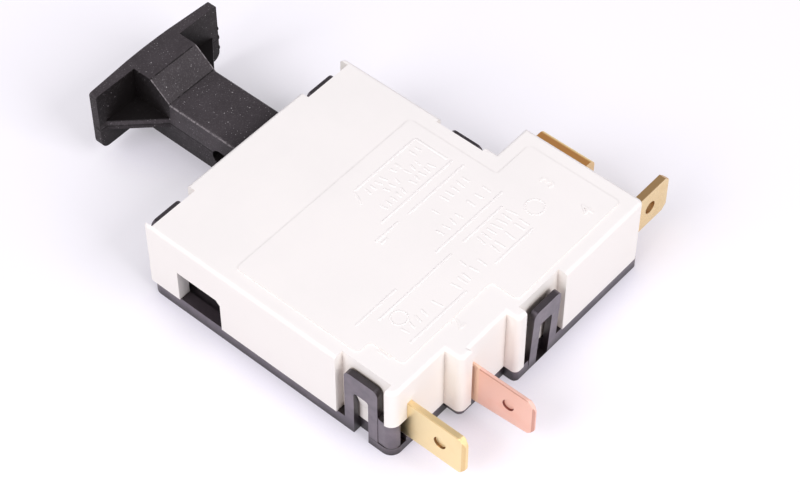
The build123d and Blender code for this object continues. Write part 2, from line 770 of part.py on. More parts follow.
# Bridges, the contacts brazed to them, and their springs, one set for each pole
for pole, inner_y, outer_y, cage_y in (
    ("a", near_inner, near_outer, near_cage),
    ("b", far_inner, far_outer, far_cage),
):
    with BuildPart() as contact_bridge:
        with BuildSketch(Plane.YZ.offset(bridge_rear)):
            with Locations(((inner_y + outer_y) / 2, contact_level)):
                Rectangle(abs(outer_y - inner_y) + 2 * bridge_end, bridge_height)
            chamfer(vertices(), length=bridge_corner)
        extrude(amount=bridge_thickness)
        with BuildSketch(Plane.YZ.offset(bridge_rear)):
            with Locations((cage_y, contact_level)):
                Circle(cage_nub_radius)
        extrude(amount=-bridge_nub)
    contact_bridge.part.label = f"contact_bridge_{pole}"
    export_step(contact_bridge.part, f"parts/contact_bridge_{pole}.step")
    for number, place_y in ((1, inner_y), (2, outer_y)):
        with BuildPart() as moving_contact:
            with BuildSketch(Plane.YZ.offset(bridge_front)):
                with Locations((place_y, contact_level)):
                    Circle(moving_contact_radius)
            extrude(amount=moving_contact_height)
            chamfer(edges().group_by(Axis.X)[-1], length=contact_bevel)
        moving_contact.part.label = f"moving_contact_{pole}{number}"
        export_step(moving_contact.part, f"parts/moving_contact_{pole}{number}.step")
    with BuildPart() as contact_spring:
        spring_start = (cage_seat, cage_y, contact_level)
        spring_end = (bridge_rear, cage_y, contact_level)
        wire_size = (contact_spring_radius, contact_spring_wire, contact_spring_turns)
        add(coil_spring(spring_start, spring_end, *wire_size))
    contact_spring.part.label = f"contact_spring_{pole}"
    export_step(contact_spring.part, f"parts/contact_spring_{pole}.step")
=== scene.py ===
import bpy
import numpy as np
from mathutils import Matrix, Vector


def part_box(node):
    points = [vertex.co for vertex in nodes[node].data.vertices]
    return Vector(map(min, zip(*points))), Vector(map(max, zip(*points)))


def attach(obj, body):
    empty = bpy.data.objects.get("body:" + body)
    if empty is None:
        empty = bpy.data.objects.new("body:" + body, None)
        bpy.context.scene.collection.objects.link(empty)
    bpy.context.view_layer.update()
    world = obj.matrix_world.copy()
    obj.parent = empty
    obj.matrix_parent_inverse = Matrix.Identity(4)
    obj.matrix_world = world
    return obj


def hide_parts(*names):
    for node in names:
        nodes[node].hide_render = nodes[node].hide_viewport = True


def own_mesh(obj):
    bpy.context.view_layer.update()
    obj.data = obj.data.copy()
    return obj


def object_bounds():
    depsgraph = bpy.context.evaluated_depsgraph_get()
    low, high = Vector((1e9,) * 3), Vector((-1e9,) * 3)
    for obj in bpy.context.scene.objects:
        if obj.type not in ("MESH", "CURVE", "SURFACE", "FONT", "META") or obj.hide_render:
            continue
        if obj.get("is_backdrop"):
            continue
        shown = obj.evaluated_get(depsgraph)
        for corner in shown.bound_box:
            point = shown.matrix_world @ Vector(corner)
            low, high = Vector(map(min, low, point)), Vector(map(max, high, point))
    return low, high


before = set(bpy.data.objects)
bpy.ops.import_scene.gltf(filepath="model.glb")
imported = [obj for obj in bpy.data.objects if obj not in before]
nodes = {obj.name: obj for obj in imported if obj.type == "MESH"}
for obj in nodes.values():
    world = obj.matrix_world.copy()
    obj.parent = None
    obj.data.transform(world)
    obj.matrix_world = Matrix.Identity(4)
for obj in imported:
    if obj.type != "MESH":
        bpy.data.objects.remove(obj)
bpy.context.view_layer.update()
millimetre = 0.001
bumpUnit = 0.05  # millimetres of relief for each unit of height
print("frame loaded:", len(nodes), "solids")


def boxOf(name):  # low and high corner of a solid, in millimetres
    return [np.array(corner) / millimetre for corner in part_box(name)]


def srgb(red, green, blue):  # 0..255 screen colour to linear RGBA, by the standard curve
    screen = np.array([red, green, blue]) / 255
    linear = np.where(screen <= 0.04045, screen / 12.92, ((screen + 0.055) / 1.055) ** 2.4)
    return (*[float(part) for part in linear], 1.0)


class Feed:  # one output socket that takes part in plain arithmetic
    def __init__(self, paint, socket):
        self.paint = paint
        self.socket = socket

    def __add__(self, other):
        return self.paint.maths("ADD", self, other)

    def __radd__(self, other):
        return self.paint.maths("ADD", other, self)

    def __sub__(self, other):
        return self.paint.maths("SUBTRACT", self, other)

    def __rsub__(self, other):
        return self.paint.maths("SUBTRACT", other, self)

    def __mul__(self, other):
        return self.paint.maths("MULTIPLY", self, other)

    def __gt__(self, other):
        return self.paint.maths("GREATER_THAN", self, other)

    def __lt__(self, other):
        return self.paint.maths("LESS_THAN", self, other)

    def __abs__(self):
        return self.paint.maths("ABSOLUTE", self, 0)


class Paint:  # one finish: a Principled shader and what feeds it, with places in millimetres
    def __init__(self, name, constants):
        self.material = bpy.data.materials.new(name)
        self.material.use_nodes = True
        self.tree = self.material.node_tree
        self.tree.nodes.clear()
        self.shader = self.node("ShaderNodeBsdfPrincipled", {}, constants)
        self.out = self.node("ShaderNodeOutputMaterial", {}, {"Surface": self.output(self.shader, "BSDF")})
        metres = self.output(self.node("ShaderNodeTexCoord", {}, {}), "Object")
        scaled = self.node("ShaderNodeVectorMath", {"operation": "SCALE"},
                           {"Vector": metres, "Scale": 1 / millimetre})
        self.place = self.output(scaled, "Vector")
        parts = self.node("ShaderNodeSeparateXYZ", {}, {"Vector": self.place})
        self.x, self.y, self.z = [self.output(parts, axis) for axis in "XYZ"]
        normal = self.output(self.node("ShaderNodeNewGeometry", {}, {}), "True Normal")
        turned = self.node("ShaderNodeSeparateXYZ", {}, {"Vector": normal})
        self.upward = self.output(turned, "Z")
        self.facing = {axis: abs(self.output(turned, axis)) for axis in "XY"}

    def output(self, node, name):
        return Feed(self, node.outputs[name])

    def node(self, kind, settings, sockets):
        made = self.tree.nodes.new(kind)
        for key, value in settings.items():
            setattr(made, key, value)
        for key, value in sockets.items():
            self.plug(made.inputs[key], value)
        return made

    def plug(self, socket, value):
        if isinstance(value, Feed):
            self.tree.links.new(value.socket, socket)
        else:
            socket.default_value = value

    def feed(self, name, value):
        self.plug(self.shader.inputs[name], value)

    def maths(self, operation, first, second):
        made = self.node("ShaderNodeMath", {"operation": operation}, {0: first, 1: second})
        return self.output(made, "Value")

    def spread(self, value, low, high):  # low..high carried smoothly to 0..1
        made = self.node("ShaderNodeMapRange", {"interpolation_type": "SMOOTHSTEP"},
                         {"Value": value, "From Min": low, "From Max": high})
        return self.output(made, "Result")

    def noise(self, scale, detail, roughness=0.5, stretch=(1, 1, 1)):  # 0..1, scale in waves per millimetre
        moved = self.node("ShaderNodeMapping", {}, {"Vector": self.place, "Scale": stretch})
        made = self.node("ShaderNodeTexNoise", {}, {"Vector": self.output(moved, "Vector"), "Scale": scale,
                                                    "Detail": detail, "Roughness": roughness})
        return self.output(made, "Fac")

    def patches(self, scale, detail, roughness, low, high, stretch=(1, 1, 1)):  # noise, low..high to 0..1
        return self.spread(self.noise(scale, detail, roughness, stretch), low, high)

    def uneven(self, middle, scale, detail, swing):  # noise carries it up and down by half the swing
        return middle + (self.noise(scale, detail) - 0.5) * swing

    def specks(self, scale, rim, core):  # 0 beyond the rim and 1 within the core of randomly placed points
        made = self.node("ShaderNodeTexVoronoi", {}, {"Vector": self.place, "Scale": scale})
        return self.spread(self.output(made, "Distance"), rim, core)

    def shelter(self, reach, clear, closed):  # 0 out in the open, 1 deep in a corner or gap
        found = self.node("ShaderNodeAmbientOcclusion", {"samples": 8}, {"Distance": reach * millimetre})
        return self.spread(self.output(found, "AO"), clear, closed)

    def blend(self, factor, first, second):  # colour mix
        made = self.node("ShaderNodeMix", {"data_type": "RGBA"}, {0: factor, 6: first, 7: second})
        return Feed(self, made.outputs[2])

    def relief(self, height, strength):
        made = self.node("ShaderNodeBump", {}, {"Height": height, "Strength": strength,
                                                "Distance": bumpUnit * millimetre})
        self.feed("Normal", self.output(made, "Normal"))


coverLook = {
    "plain": srgb(252, 247, 246),
    "cloud": srgb(246, 242, 241),
    # the next three colours are painted shade: a creamier tint on upright walls, darker hollows and dark
    # cracks
    "wallShade": srgb(252, 247, 242),
    "deep": srgb(230, 209, 194),
    "gapShadow": srgb(92, 58, 46),
    "share": {"cloud": 0.4, "wallShade": 0.8, "deep": 0.4, "gapShadow": 0.5},  # of each colour, where it is fullest
    "clouds": (0.12, 4.0, 0.6, 0.35, 0.7),  # scale, detail, roughness, and the noise that counts as 0 and 1
    "wall": (0.85, 0.2),  # upward part of the normal where a wall starts and where it is full
    "hollow": (1.6, 0.8, 0.2),  # reach, and the openness that counts as 0 and 1
    "crackShadow": (0.9, 0.62, 0.3),
    "gapBelow": 9.4,  # height under which the painted shadow in cracks is laid
    "specular": 0.4,
    "gloss": (0.46, 0.9, 3.0, 0.16),  # middle, scale, detail and swing
    "fineGrain": (6.0, 3.0),
    "slowGrain": (0.5, 2.0),
    "slowHeight": 2.0,
    "relief": 0.10,
}
sliderLook = {
    **coverLook,
    "plain": srgb(212, 208, 198),
    "cloud": srgb(202, 198, 188),
    # painted shade, as on the cover: a creamier tint on upright walls, darker hollows and dark cracks
    "wallShade": srgb(206, 201, 190),
    "deep": srgb(164, 157, 143),
    "gapShadow": srgb(92, 84, 74),
    "gloss": (0.5, 0.9, 3.0, 0.16),
    "relief": 0.12,
}


def coverFinish(look, name):  # moulded shell: faint clouds, a creamier tint on the walls as painted warm shade, painted shade in hollows and cracks
    paint = Paint(name, {"Specular IOR Level": look["specular"]})
    share = look["share"]
    colour = paint.blend(paint.patches(*look["clouds"]) * share["cloud"], look["plain"], look["cloud"])
    walls = paint.spread(paint.upward, *look["wall"])
    # painted warm shade: upright walls take a creamier tint
    colour = paint.blend(walls * share["wallShade"], colour, look["wallShade"])
    # painted shade: upright walls deep in hollows turn darker
    hollow = paint.shelter(*look["hollow"]) * walls
    colour = paint.blend(hollow * share["deep"], colour, look["deep"])
    # painted shadow: dark brown in narrow gaps and cracks, such as behind the loops, below the top
    gapShadow = paint.shelter(*look["crackShadow"]) * walls * (paint.z < look["gapBelow"])
    paint.feed("Base Color", paint.blend(gapShadow * share["gapShadow"], colour, look["gapShadow"]))
    paint.feed("Roughness", paint.uneven(*look["gloss"]))
    grain = paint.noise(*look["fineGrain"]) + paint.noise(*look["slowGrain"]) * look["slowHeight"]
    paint.relief(grain, look["relief"])
    return paint


baseLook = {
    "plain": srgb(118, 108, 117),
    "dark": srgb(93, 85, 95),
    # near black: the painted shade on upward faces, in hollows and in the groove
    "edge": srgb(24, 16, 17),
    "share": {"top": 0.75, "hollow": 0.92, "groove": 0.85},
    "clouds": (0.35, 4.0, 0.6, 0.3, 0.7),
    "scratches": (1.6, 5.0, 0.7, 0.62, 0.75, (1, 1, 9)),  # the last is how much denser along each axis
    "top": (0.9, 0.98),
    "hollow": (3.0, 0.85, 0.45),
    "grooveLevel": 1.05,
    "grooveHalf": (0.1, 0.03),  # distance from its middle where it starts and where it is full
    "grooveFrom": 11.4,  # x where it starts
    "grooveDepth": 2.2,  # how far it goes in from the near side
    "specular": 0.55,
    "gloss": (0.34, 1.3, 3.0, 0.2),
    "scratchGloss": 0.12,
    "fineGrain": (5.0, 3.0),
    "heights": {"grain": 0.6, "groove": 3.0, "scratch": 0.3},
    "relief": 0.14,
}


def baseFinish(look, name):  # smooth black moulding: clouds, fine scratches, a groove round the near corner, and painted shade on upward faces, in hollows and in the groove
    paint = Paint(name, {"Specular IOR Level": look["specular"]})
    share, heights = look["share"], look["heights"]
    colour = paint.blend(paint.patches(*look["clouds"]), look["plain"], look["dark"])
    scratches = paint.patches(*look["scratches"])
    low, high = boxOf("base")
    nearCorner = (paint.x > look["grooveFrom"]) * (paint.y < low[1] + look["grooveDepth"])
    nearCorner = nearCorner * (paint.x < high[0])
    # the groove is bumped in and darkened, as painted shade in the crease
    groove = paint.spread(abs(paint.z - look["grooveLevel"]), *look["grooveHalf"]) * nearCorner
    # painted shade: upward faces darkened nearly to black
    shadedTops = paint.spread(paint.upward, *look["top"])
    colour = paint.blend(shadedTops * share["top"], colour, look["edge"])
    # painted shade: corners and hollows darkened nearly to black
    colour = paint.blend(paint.shelter(*look["hollow"]) * share["hollow"], colour, look["edge"])
    paint.feed("Base Color", paint.blend(groove * share["groove"], colour, look["edge"]))
    paint.feed("Roughness", paint.uneven(*look["gloss"]) + scratches * look["scratchGloss"])
    grain = paint.noise(*look["fineGrain"]) * heights["grain"]
    paint.relief(grain - groove * heights["groove"] - scratches * heights["scratch"], look["relief"])
    return paint


rodLook = {
    "top": srgb(66, 60, 64),
    "low": srgb(42, 36, 40),
    "head": srgb(32, 24, 25),
    "shade": srgb(34, 28, 31),
    # near black: painted shade for the side pocket and hollows, and the colour of the parting and witness
    # lines
    "hollow": srgb(12, 7, 8),
    # lighter: the painted highlight along the top edges
    "edgeHighlight": srgb(150, 143, 147),
    "dust": srgb(186, 181, 184),
    "share": {"head": 0.85, "cloud": 0.35, "pocket": 0.75, "grain": 0.13, "slopeGrain": 0.07, "edgeHighlight": 0.75,
              "dust": 0.7, "line": 0.95, "deep": 0.92},
    "clouds": (0.3, 5.0, 0.65, 0.3, 0.7),
    "wall": (0.6, 0.3),
    "slope": (0.95, 0.85),  # upward part of the normal where a slope starts and where it is full
    "slopeLevel": 0.5,  # the least that counts as one
    "parting": 5.0,
    "partingBlur": 0.05,
    "partingHalf": (0.13, 0.06),
    "webTop": 5.6,  # the side pockets are over the webs
    "headDepth": 1.5,  # from the rod's outer end
    "pocketLap": 0.1,  # how far before the head ends the side pocket's shade starts
    "witness": (3.72, 6.22),  # top and foot of the slope, from the same end
    "witnessHalf": (0.09, 0.03),
    "halfWidth": 3.34,
    "sideLap": 0.03,  # how far in from the near side it reaches
    "ridge": (0.15, 0.08),  # how far in from the side the painted edge highlight starts and is full
    "ridgeLap": 0.05,
    "ridgeLevel": 0.3,  # least upward part of the normal under the painted edge highlight
    "highlightPatches": (2.6, 3.0, 0.5, 0.3, 0.6),
    "grain": (5.5, 4.0, 0.75),
    "grainFrom": (0.5, 0.75),
    "dustPatches": (0.45, 3.0, 0.5, 0.38, 0.6),
    "fineDust": (2.9, 0.16, 0.07),  # scale, rim and core
    "bigDust": (1.15, 0.09, 0.05),
    "linePatches": (1.7, 2.0, 0.5, 0.4, 0.5),
    "faintLine": 0.35,  # what is left of a line between its patches
    # painted shade in deep corners: reach, and the openness that counts as 0 and 1
    "deep": (6.0, 0.92, 0.62),
    "specular": 0.3,
    "gloss": (0.55, 1.1, 4.0, 0.22),
    "heights": {"dust": 0.6, "line": 1.5},
    "relief": 0.35,
}


def rodFinish(look, name):  # grainy charcoal moulding: dust, a painted highlight along the top edges, painted shade in the side pocket and hollows, a parting and two witness lines
    paint = Paint(name, {"Specular IOR Level": look["specular"]})
    share, heights = look["share"], look["heights"]
    start = boxOf("push_rod")[0][0]
    neck, half = start + look["headDepth"], look["halfWidth"]
    walls = paint.spread(abs(paint.upward), *look["wall"])
    upper = paint.spread(paint.z, look["parting"] - look["partingBlur"],
                         look["parting"] + look["partingBlur"])
    colour = paint.blend(paint.maths("MAXIMUM", upper, 1 - walls), look["low"], look["top"])
    colour = paint.blend((paint.x < neck) * walls * share["head"], colour, look["head"])
    colour = paint.blend(paint.patches(*look["clouds"]) * share["cloud"], colour, look["shade"])

    # painted shade: the near side pocket over the web darkened nearly to black
    pocket = (paint.x > neck - look["pocketLap"]) * (paint.x < start + look["witness"][1])
    pocket = pocket * (paint.y < look["sideLap"] - half) * (paint.z > look["webTop"])
    colour = paint.blend(pocket * share["pocket"], colour, look["hollow"])

    grain = paint.noise(*look["grain"])
    slope = paint.spread(paint.upward, *look["slope"]) * (paint.upward > look["slopeLevel"])
    grainShare = share["grain"] + slope * share["slopeGrain"]
    colour = paint.blend(paint.spread(grain, *look["grainFrom"]) * grainShare, colour, look["dust"])

    # painted highlight: a lighter line along the top edges of the sides and the web, broken into patches
    side = abs(paint.y)
    ridge = paint.spread(side, *[half - inset for inset in look["ridge"]])
    ridge = ridge * (paint.upward > look["ridgeLevel"])
    ridge = ridge * (side < half + look["ridgeLap"]) * (paint.x > start + look["witness"][0])
    ridge = ridge * paint.patches(*look["highlightPatches"])
    colour = paint.blend(ridge * share["edgeHighlight"], colour, look["edgeHighlight"])

    fine = paint.specks(*look["fineDust"]) * paint.patches(*look["dustPatches"])
    dust = paint.maths("MAXIMUM", fine, paint.specks(*look["bigDust"]))
    colour = paint.blend(dust * share["dust"], colour, look["dust"])

    line = paint.spread(abs(paint.z - look["parting"]), *look["partingHalf"]) * walls
    for depth in look["witness"]:
        seam = paint.spread(abs(paint.x - (start + depth)), *look["witnessHalf"])
        line = paint.maths("MAXIMUM", line, seam * (paint.upward > look["slopeLevel"]))
    line = line * (paint.patches(*look["linePatches"]) * (1 - look["faintLine"]) + look["faintLine"])
    colour = paint.blend(line * share["line"], colour, look["hollow"])
    # painted shade: deep corners darkened nearly to black
    colour = paint.blend(paint.shelter(*look["deep"]) * share["deep"], colour, look["hollow"])
    paint.feed("Base Color", colour)
    paint.feed("Roughness", paint.uneven(*look["gloss"]))
    paint.relief(grain + dust * heights["dust"] - line * heights["line"], look["relief"])
    return paint


stripLook = {  # what the metals share, unless one has its own
    "metal": 1.0,
    "share": {"dull": 0.7, "stain": 0.45, "bevel": 0.5, "edge": 0.85, "pitShade": 0.92, "litRoot": 0.8, "bend": 0.9},
    "clouds": (0.45, 5.0, 0.65, 0.45, 0.8),
    "stains": (1.1, 4.0, 0.7, 0.62, 0.74),
    "edgeFrom": (0.6, 0.4),  # part of the normal along the sheet's own, where an edge starts and is full
    "bevelFrom": (0.985, 0.95),
    "pitFrom": (0.95, 0.8),
    "topEdgeFrom": (0.75, 0.97),  # upward part of the normal, for a strip that stands on edge
    "warmBlur": 0.05,
    "warmDull": 0.5,  # how much less metallic it is there
    "bendReach": 0.3,
    "bendAbove": 0.05,
    "bendDull": 0.75,
    "rough": {"clouds": 0.06, "edges": 0.18, "stains": 0.1},
    "grain": (1.5, 2.0),
    "heights": {"grain": 0.5, "stains": 0.3},
    "relief": 0.04,
}
# flat is the axis that the sheet's faces look along. pitAt is a blade's solid, the place of its dimple in
# from the tip and up from the middle, and half the width that takes the painted shade
metalLook = {
    "brass": {
        "bright": srgb(249, 228, 178), "dull": srgb(244, 218, 162), "edge": srgb(253, 225, 172),
        "bevel": srgb(214, 172, 112), "pitShade": srgb(128, 82, 34), "gloss": 0.32, "flat": "Y", "metal": 0.9,
        "pitAt": ("terminal_1", 3.3, 0.05, 1.0),
    },
    "brassAcross": {
        "bright": srgb(240, 214, 162), "dull": srgb(230, 198, 142), "edge": srgb(212, 170, 118),
        "bevel": srgb(214, 170, 112), "gloss": 0.26, "flat": "X",
    },
    # copper: its root colour is painted light on the band at the blade's root, and its pit colour is painted
    # shade in the dimple
    "copper": {
        "bright": srgb(255, 210, 193), "dull": srgb(251, 198, 178), "edge": srgb(250, 208, 196),
        "bevel": srgb(158, 84, 66), "pitShade": srgb(120, 40, 30), "root": srgb(255, 216, 188), "gloss": 0.44,
        "warmTo": 17.0, "flat": "Y", "metal": 0.62, "pitAt": ("terminal_2", 3.32, 0.05, 1.0),
    },
    # folded strip: its top faces take the browner edge colour as painted shade, and its root colour is the
    # painted highlight along the bend
    "folded": {
        "bright": srgb(240, 205, 150), "dull": srgb(222, 176, 112), "edge": srgb(240, 170, 96),
        "root": srgb(252, 222, 150), "gloss": 0.28, "bendFrom": 17.85,
    },
    "bridge": {
        "bright": srgb(248, 203, 187), "dull": srgb(238, 178, 152), "edge": srgb(220, 150, 120),
        "gloss": 0.26,
    },
    "silver": {
        "bright": srgb(224, 224, 226), "dull": srgb(180, 180, 184), "edge": srgb(150, 150, 154),
        "gloss": 0.28,
    },
    "steel": {
        "bright": srgb(190, 190, 196), "dull": srgb(140, 140, 148), "edge": srgb(120, 120, 126),
        "gloss": 0.26,
    },
}


def metalFinish(look, name):  # rolled strip: tarnish clouds, stains, edges and bevels of their own colour, painted shade in a dimple, painted light at a blade's root and along a bend
    paint = Paint(name, {"Metallic": look["metal"]})
    share, rough, heights = look["share"], look["rough"], look["heights"]
    clouds, stains = paint.patches(*look["clouds"]), paint.patches(*look["stains"])
    colour = paint.blend(clouds * share["dull"], look["bright"], look["dull"])
    colour = paint.blend(stains * share["stain"], colour, look["edge"])
    if "flat" in look:  # faces that don't look the sheet's way are edges, and those between are the bevel
        square = paint.facing[look["flat"]]
        edges = paint.spread(square, *look["edgeFrom"])
        bevel = paint.spread(square, *look["bevelFrom"]) * (1 - edges)
        colour = paint.blend(bevel * share["bevel"], colour, look["bevel"])
    else:
        # without a flat axis the upward faces take the edge colour; on the folded strip that browner top is
        # painted shade
        edges = paint.spread(paint.upward, *look["topEdgeFrom"])
    colour = paint.blend(edges * share["edge"], colour, look["edge"])
    if "pitAt" in look:  # painted shade: the dimple's side wall, darker
        node, inset, rise, reach = look["pitAt"]
        low, high = boxOf(node)
        across = abs(paint.x - float(high[0] - inset))
        over = abs(paint.z - float((low[2] + high[2]) / 2 + rise))
        pitShade = (across < reach) * (over < reach) * paint.spread(square, *look["pitFrom"])
        colour = paint.blend(pitShade * share["pitShade"], colour, look["pitShade"])
    if "warmTo" in look:  # painted light: the band at the root, lighter and less metallic, standing in for the pale reflection of the wall beside it
        litRoot = paint.spread(paint.x, look["warmTo"] + look["warmBlur"], look["warmTo"] - look["warmBlur"])
        colour = paint.blend(litRoot * share["litRoot"], colour, look["root"])
        paint.feed("Metallic", look["metal"] - litRoot * look["warmDull"])
    if "bendFrom" in look:  # painted highlight: the bend, lighter and less metallic
        bend = paint.spread(paint.y, look["bendFrom"], look["bendFrom"] + look["bendReach"])
        bend = bend * (paint.upward > look["bendAbove"])
        colour = paint.blend(bend * share["bend"], colour, look["root"])
        paint.feed("Metallic", look["metal"] - bend * look["bendDull"])
    paint.feed("Base Color", colour)
    gloss = look["gloss"] + clouds * rough["clouds"] + edges * rough["edges"] + stains * rough["stains"]
    paint.feed("Roughness", gloss)
    grain = paint.noise(*look["grain"]) * heights["grain"]
    paint.relief(grain + stains * heights["stains"], look["relief"])
    return paint


metals = {name: metalFinish({**stripLook, **look}, name + "Strip") for name, look in metalLook.items()}
coverPaint = coverFinish(coverLook, "coverPlastic")
basePaint = baseFinish(baseLook, "basePlastic")
rodPaint = rodFinish(rodLook, "rodPlastic")
sliderPaint = coverFinish(sliderLook, "sliderPlastic")
finishes = {  # start of the solids' names and what they wear
    "cover": coverPaint,
    "base": basePaint,
    "push_rod": rodPaint,
    "slider": sliderPaint,
    "terminal_1": metals["brass"],
    "terminal_2": metals["copper"],
    "terminal_3": metals["folded"],
    "terminal_4": metals["brassAcross"],
    "contact_bridge": metals["bridge"],
    "fixed_contact": metals["silver"],
    "moving_contact": metals["silver"],
    "return_spring": metals["steel"],
    "contact_spring": metals["steel"],
    "latch_pin": metals["steel"],
}


def dress(start, paint):  # every slot of the solids whose names start so takes the finish
    for name, node in nodes.items():
        if name.startswith(start):
            node.data.materials.clear()
            node.data.materials.append(paint.material)


for start, paint in finishes.items():
    dress(start, paint)
print("finishes on the solids")


def squared(wave, power):  # a sine or cosine made squarer: its sign times its size to the power
    return np.sign(wave) * np.abs(wave) ** power


def loft(name, rings, paint, smooth=True):
    # rings[strand, station, point]: neighbouring rings are joined by quads, and both ends are capped
    strands, stations, points = rings.shape[:3]
    index = np.arange(strands * stations * points).reshape(strands, stations, points)
    near, far = index[:, :-1], index[:, 1:]
    sides = np.stack([near, np.roll(near, -1, 2), np.roll(far, -1, 2), far], -1).reshape(-1, 4)
    caps = index[:, 0, ::-1].tolist() + index[:, -1].tolist()
    mesh = bpy.data.meshes.new(name)
    mesh.from_pydata((rings.reshape(-1, 3) * millimetre).tolist(), [], sides.tolist() + caps)
    mesh.materials.append(paint.material)
    mesh.polygons.foreach_set("use_smooth", (np.arange(len(mesh.polygons)) < len(sides)) & smooth)
    made = bpy.data.objects.new(name, mesh)
    bpy.context.scene.collection.objects.link(made)
    return made


springShape = {
    "steps": 28,  # stations round one turn
    "sides": 10,
    "closing": 0.8,  # how nearly flat the end turns lie, where 1 is flat
    "closed": 0.25,  # share of the turns at each end over which they close up
}
contactSpring = {**springShape, "turns": 5.0, "wire": 0.13, "body": "plunger", "give": 0.8, "seat": -1}
springLook = {  # seat is the end that stays put, 1 for the far end along x and -1 for the near one
    "return_spring": {
        **springShape, "turns": 9.0, "wire": 0.22, "body": "housing", "give": 4.0, "seat": 1,
        "joint": "press",
    },
    "contact_spring_a": {**contactSpring, "joint": "bridge_a_give"},
    "contact_spring_b": {**contactSpring, "joint": "bridge_b_give"},
}


def makeSpring(name, look):
    # a round ring carried along x = eased(t), angle = 2 pi turns t, so the first and last turns lie closed:
    # eased(t) = t - closing sin(4 pi t) / (4 pi) near the ends, and t between them
    low, high = boxOf(name)
    centre, wire = (low + high) / 2, look["wire"]
    coil = (high - low)[1] / 2 - wire
    t = np.linspace(0, 1, int(look["turns"] * look["steps"]) + 1)
    wave = 4 * np.pi
    eased = t - look["closing"] * np.sin(wave * t) / wave * (np.abs(t - 0.5) > 0.5 - look["closed"])
    angle = 2 * np.pi * look["turns"] * t
    along = low[0] + wire + eased * (high[0] - low[0] - 2 * wire)
    outward = np.stack([np.zeros_like(t), np.cos(angle), np.sin(angle)], -1)
    middle = np.stack([along, np.full_like(t, centre[1]), np.full_like(t, centre[2])], -1)
    path = outward * coil + middle
    ahead = np.gradient(path, axis=0)
    ahead /= np.linalg.norm(ahead, axis=1, keepdims=True)
    side = np.cross(ahead, outward)
    turn = np.linspace(0, 2 * np.pi, look["sides"], endpoint=False)[None, :, None]
    rings = path[:, None] + wire * (np.cos(turn) * outward[:, None] + np.sin(turn) * side[:, None])
    spring = loft(name + "_coil", rings[None], metals["steel"])
    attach(spring, look["body"])
    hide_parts(name)
    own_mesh(spring)


for springName, springSize in springLook.items():
    makeSpring(springName, springSize)
print("springs wound")

bladeShape = {
    "points": 160,  # round one outline
    "tall": 5.0,  # height that the outline is drawn in, before it is fitted between the insets
    "slotReach": 1.4,  # how far the blade runs back into its slot
    "hold": 0.03,  # a narrow ring inside the bevel that keeps the face flat
    "eye": 0.05,  # radius of the small ring that closes the dimple's floor and the back
    "dimpleSteps": [(0.8, 1.0), (0.88, 0.94), (0.97, 0.2), (1.02, 0.0), (1.1, 0.0)],  # of radius and depth
    "frontBevel": [(0.5, 0.4), (0.92, 0.95), (1.0, 1.3)],  # shares of the way to the edge and of the drop
    "backBevel": [(1.0, 1.3), (0.92, 0.9)],
    "shankStarts": (0.2, 0.8),  # behind the wall
    "shankEnds": (0.3, 0.0),  # short of the contact plate's far end
    "shankBend": 0.6,
    "shankRound": 0.3,  # power of the section's superellipse
    "shankWiden": 4,  # stations over which it grows to the solid's height
}
# tip and front are offsets from the solid's own box, and low and high are insets from it, at the wall and at
# the tip. chamfer is what the lower and the upper corner lose, drop and tipDrop are how far the bevel falls
# behind the face on the long edges and at the tip, and dimple is its distance from the tip, radius and depth
bladeLook = {
    "blade_1": {
        **bladeShape, "node": "terminal_1", "metal": "brass", "wall": 14.425, "tip": -0.18, "front": -0.25,
        "thick": 0.68, "low": (0.57, 0.57), "high": (0.5, 0.5), "chamfer": (0.7, 0.75), "tipBevel": 0.42,
        "edgeBevel": 0.1, "drop": 0.06, "tipDrop": 0.16, "dimple": (3.0, 0.7, 0.22),
    },
    "blade_2": {
        **bladeShape, "node": "terminal_2", "metal": "copper", "wall": 16.025, "tip": -0.22, "front": 0.0,
        "thick": 0.42, "low": (0.28, 1.0), "high": (0.42, 0.36), "chamfer": (0.85, 0.9), "tipBevel": 0.3,
        "edgeBevel": 0.14, "drop": 0.08, "tipDrop": 0.12, "dimple": (3.1, 0.66, 0.2),
    },
}


def outlineRing(corners, count):
    # points evenly along a closed polygon, its corners eased by averaging neighbours twice
    ends = np.roll(corners, -1, 0)
    lengths = np.linalg.norm(ends - corners, axis=1)
    marks = np.concatenate([[0], np.cumsum(lengths)])
    along = np.linspace(0, marks[-1], count, endpoint=False)
    side = np.searchsorted(marks, along, "right") - 1
    share = ((along - marks[side]) / lengths[side])[:, None]
    ring = corners[side] * (1 - share) + ends[side] * share
    for easing in range(2):
        ring = (np.roll(ring, 1, 0) + 2 * ring + np.roll(ring, -1, 0)) / 4
    return ring


